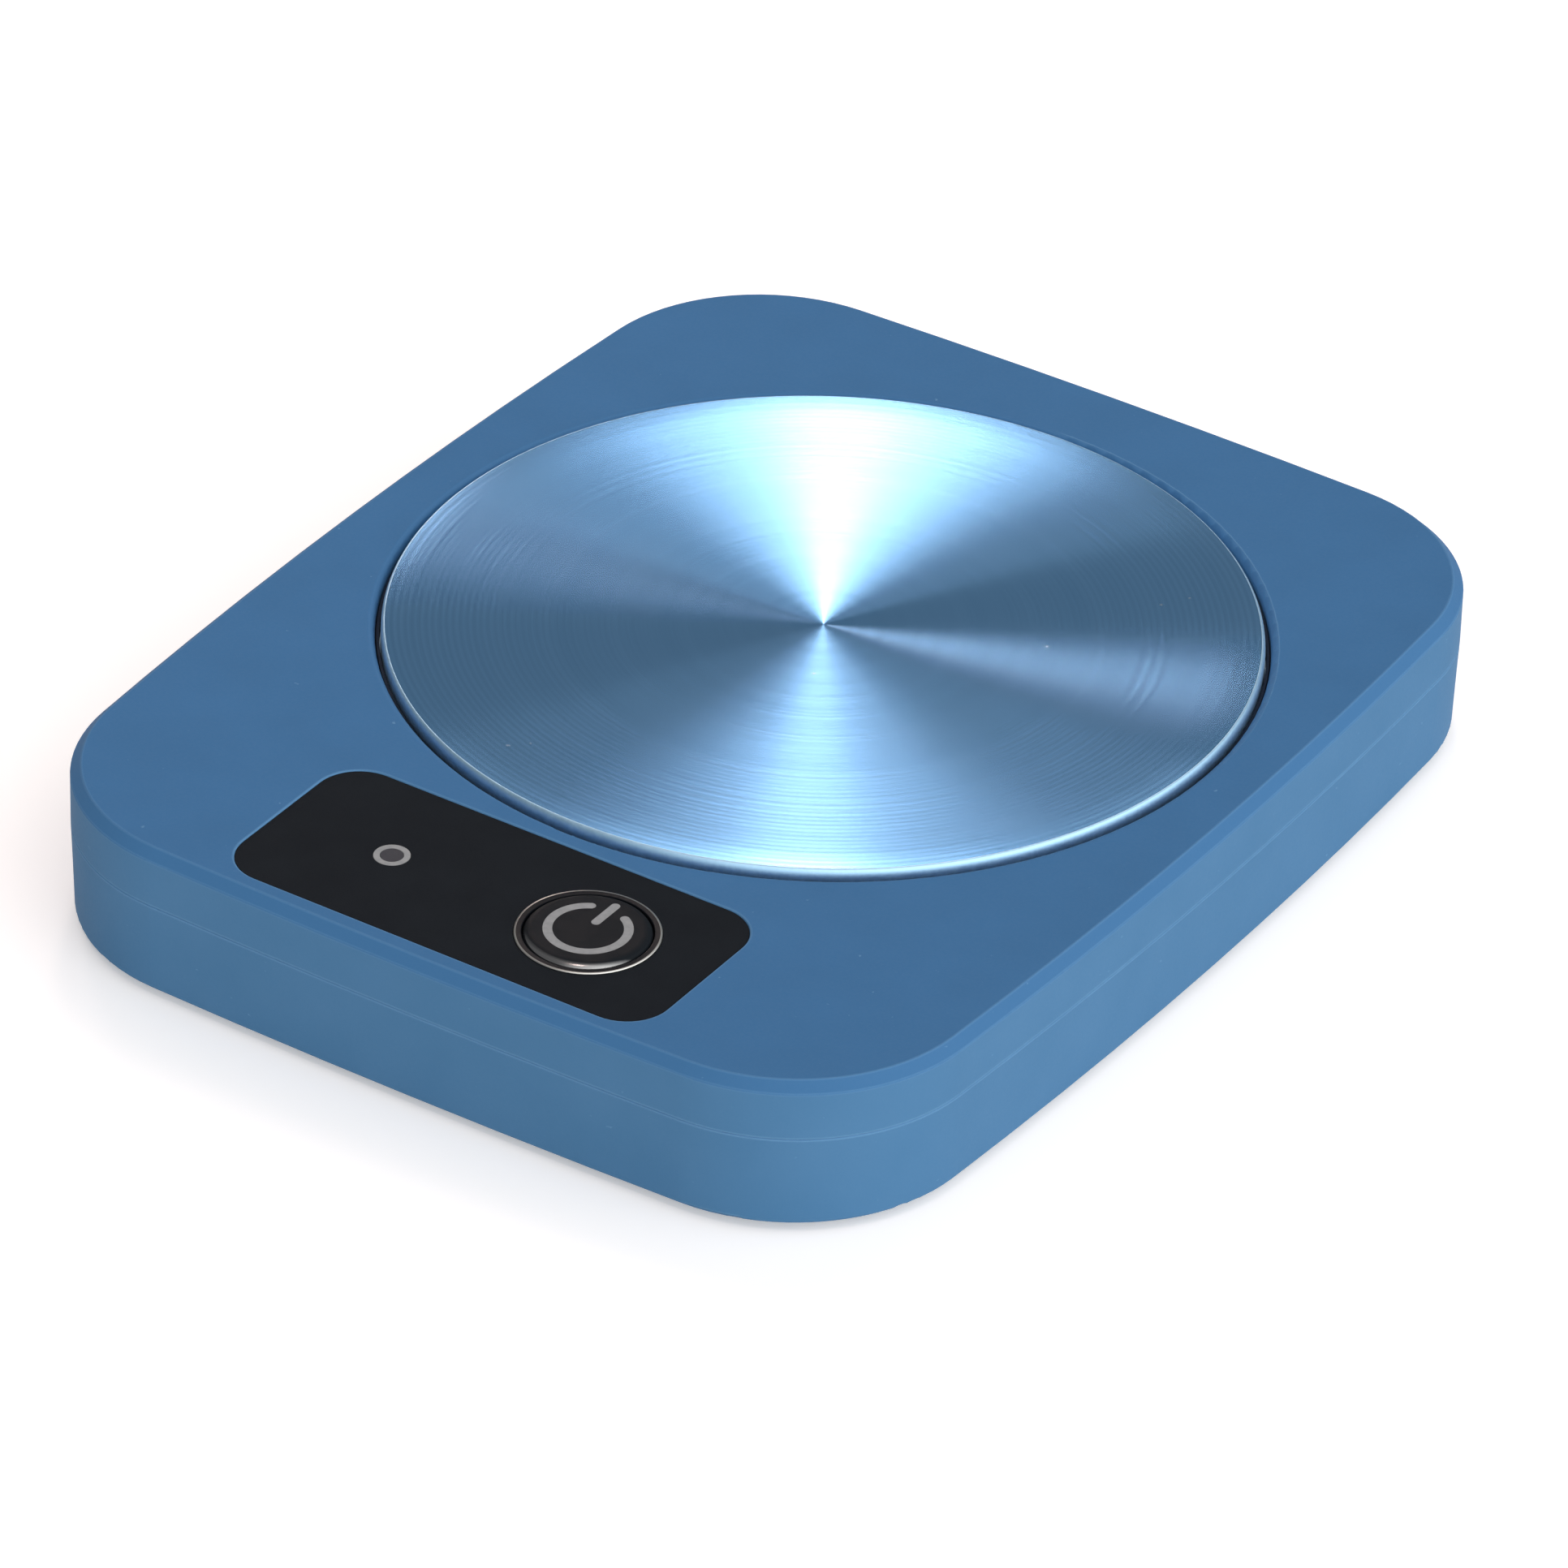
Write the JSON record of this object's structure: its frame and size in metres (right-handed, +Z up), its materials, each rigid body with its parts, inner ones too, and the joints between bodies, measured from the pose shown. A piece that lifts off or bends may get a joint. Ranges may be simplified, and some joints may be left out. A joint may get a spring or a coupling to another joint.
{
  "type": "electric mug warmer",
  "caption": "Low rounded case with a round heating plate for a mug, and a control panel with a power button and an indicator.",
  "frame": {"origin": "under the middle of the case, on the surface that the feet stand on", "axes": "+Z up; the control panel is towards -Y and the power inlet towards +Y; +X is to the right of someone facing the panel"},
  "size_m": [0.1054, 0.13, 0.0182],
  "materials": {
    "housing": "fine grain, blue",
    "plate": "spun, blue anodised",
    "gasket": "matte",
    "heat_plastic": "matte, heat resistant",
    "screw_steel": "zinc plated",
    "mica": "layered, satin",
    "foil": "etched foil",
    "felt": "ceramic felt",
    "sheet_steel": "rolled",
    "terminal_brass": "tinned brass",
    "fuse_sleeve": "glass-fibre sleeve",
    "epoxy": "moulded epoxy",
    "panel": "satin black",
    "bezel": "bright",
    "button": "gloss black",
    "symbol": "light grey",
    "light_guide": "smoked clear",
    "board": "solder mask",
    "black_moulding": "moulded",
    "spring_steel": "bright",
    "led": "moulded",
    "tinned": "tinned",
    "can": "bright",
    "ferrite": "matte",
    "white_moulding": "moulded",
    "heater_wire": "silicone sleeved",
    "sensor_wire": "insulated",
    "supply_wire": "insulated",
    "feet": "matte"
  },
  "bodies": {
    "case": {"top_cover": "housing", "base_shell": "housing", "heating_plate": "plate", "plate_gasket": "gasket", "plate_retainer": "heat_plastic", "retainer_screws": "screw_steel", "upper_mica": "mica", "lower_mica": "mica", "heater_track": "foil", "insulation_pad": "felt", "clamp_plate": "sheet_steel", "plate_studs": "screw_steel", "stud_washers": "screw_steel", "stud_nuts": "screw_steel", "heater_terminals": "terminal_brass", "thermal_fuse": "fuse_sleeve", "fuse_splice": "terminal_brass", "thermistor": "epoxy", "sensor_bracket": "sheet_steel", "bracket_screw": "screw_steel", "control_panel": "panel", "button_bezel": "bezel", "indicator_ring": "symbol", "light_guide": "light_guide", "control_board": "board", "board_screws": "screw_steel", "switch_base": "black_moulding", "switch_frame": "sheet_steel", "switch_dome": "spring_steel", "indicator_led": "led", "controller_chip": "epoxy", "controller_pins": "tinned", "power_transistor": "epoxy", "bulk_capacitor": "can", "power_inductor": "ferrite", "chip_resistors": "ferrite", "heater_header": "white_moulding", "sensor_header": "white_moulding", "supply_header": "white_moulding", "heater_plug": "white_moulding", "sensor_plug": "white_moulding", "supply_plug": "white_moulding", "heater_leads": "heater_wire", "sensor_leads": "sensor_wire", "supply_leads": "supply_wire", "inlet_board": "board", "inlet_shell": "sheet_steel", "inlet_tongue": "black_moulding", "inlet_screws": "screw_steel", "case_screws": "screw_steel", "feet": "feet"},
    "button": {"power_button": "button", "power_symbol": "symbol"},
    "plunger": {"switch_plunger": "black_moulding"}
  },
  "joints": [
    {"name": "button_press", "type": "slide", "parent": "case", "child": "button", "axis": [0, 0, -1], "range_m": [0, 0.0004], "stiffness_N_per_m": 1500},
    {"name": "plunger_press", "type": "slide", "parent": "case", "child": "plunger", "axis": [0, 0, -1], "range_m": [0, 0.0004], "deforming": ["switch_dome"]}
  ],
  "couplings": [
    {"joint": "plunger_press", "follows": "button_press", "ratio": 1}
  ]
}
